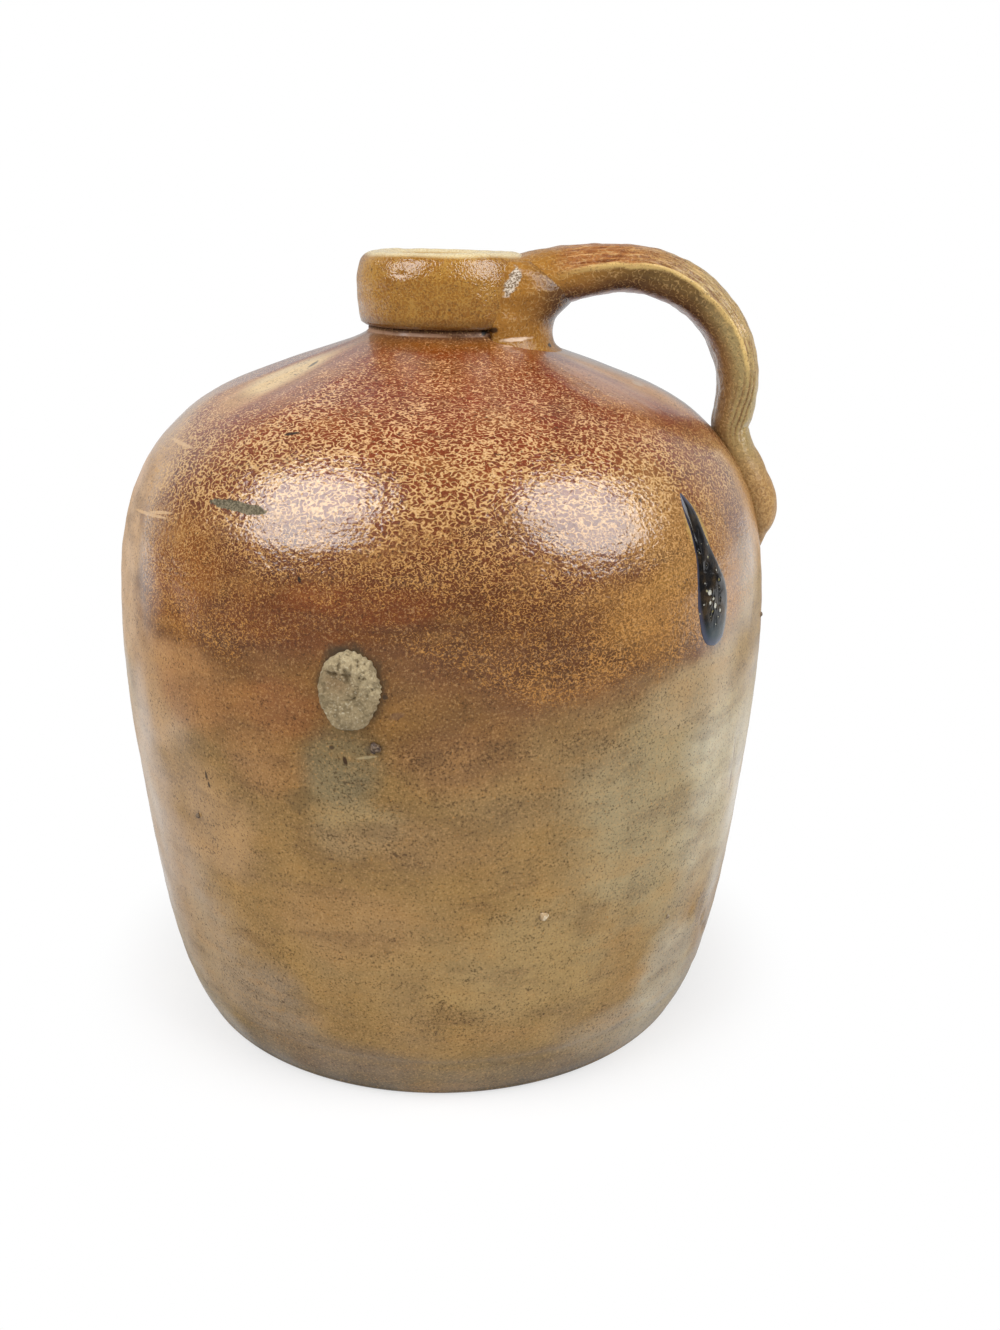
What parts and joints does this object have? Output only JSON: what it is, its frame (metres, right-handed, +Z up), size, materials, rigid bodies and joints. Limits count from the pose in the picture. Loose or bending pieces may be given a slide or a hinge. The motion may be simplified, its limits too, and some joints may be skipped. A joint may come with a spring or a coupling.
{
  "type": "stoneware jug",
  "caption": "Round-shouldered salt-glazed stoneware crock jug with a narrow collared mouth for a cork and a strap handle from collar to shoulder.",
  "frame": {"origin": "centre of the underside of the foot, where the jug's axis meets the table", "axes": "+Z up the jug's axis and out of the mouth, +X from the axis towards the handle, -Y towards the side seen in the picture"},
  "size_m": [0.1933, 0.1918, 0.2254],
  "materials": {
    "salt_glazed_clay": "gloss",
    "salt_glazed_collar": "gloss",
    "salt_glazed_strap": "gloss",
    "brown_slip": "satin",
    "wadding_clay": "matte",
    "kiln_glass": "gloss"
  },
  "bodies": {
    "root": {"body": "salt_glazed_clay", "slip_lining": "brown_slip", "collar": "salt_glazed_collar", "handle_root": "salt_glazed_strap", "handle": "salt_glazed_strap", "kiln_wad": "wadding_clay", "kiln_drip": "kiln_glass", "kiln_crumbs": "kiln_glass"}
  },
  "joints": []
}
